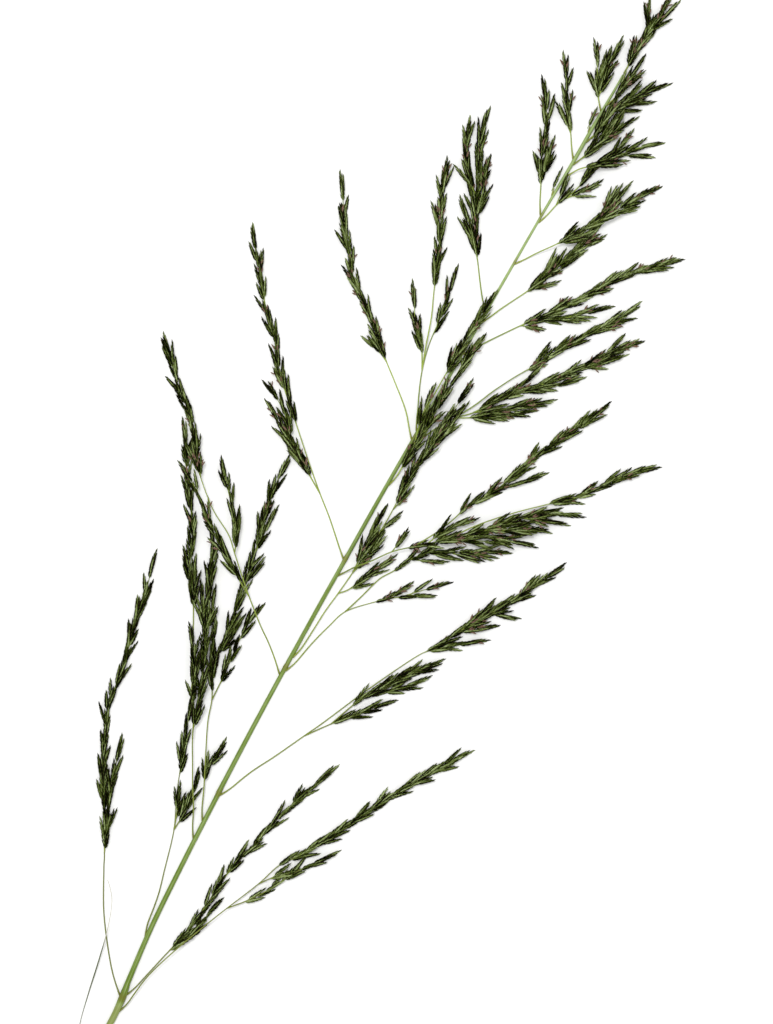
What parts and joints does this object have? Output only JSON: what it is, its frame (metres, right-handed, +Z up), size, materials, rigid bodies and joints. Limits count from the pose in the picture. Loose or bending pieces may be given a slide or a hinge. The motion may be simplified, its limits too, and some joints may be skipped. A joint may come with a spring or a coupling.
{
  "type": "weeping love grass flower head",
  "caption": "Cut flowering stem of an ornamental grass, lying flat, with an open head of thin branches set with dark green spikelets.",
  "frame": {"origin": "on the flat underside of the stem, 6 mm from its cut end, on the surface that the stem lies on", "axes": "+Y along the stem to its tip, +X to its right seen from above, +Z up from the surface it lies on"},
  "size_m": [0.1413, 0.3544, 0.0053],
  "materials": {
    "stem": "fresh yellow-green stem, smooth with fine ribs",
    "spray": "dark olive-green scales on thin green threads, dull",
    "leaf": "pale dry leaf, dull"
  },
  "bodies": {
    "root": {"stem": "stem", "leaf_tip": "leaf", "spray_left_1": "spray", "spray_left_2": "spray", "spray_left_3": "spray", "spray_left_4": "spray", "spray_left_5": "spray", "spray_left_6": "spray", "spray_left_7": "spray", "spray_left_8": "spray", "spray_left_9": "spray", "spray_left_10": "spray", "spray_left_11": "spray", "spray_left_12": "spray", "spikelet_left_13": "spray", "spikelet_left_14": "spray", "spray_right_1": "spray", "spray_right_2": "spray", "spray_right_3": "spray", "spray_right_4": "spray", "spray_right_5": "spray", "spray_right_6": "spray", "spray_right_7": "spray", "spray_right_8": "spray", "spray_right_9": "spray", "spray_right_10": "spray", "spray_right_11": "spray", "spray_right_12": "spray", "spray_right_13": "spray", "spray_right_14": "spray", "spray_right_15": "spray", "spray_right_16": "spray", "spray_middle": "spray", "spray_top": "spray"}
  },
  "joints": []
}
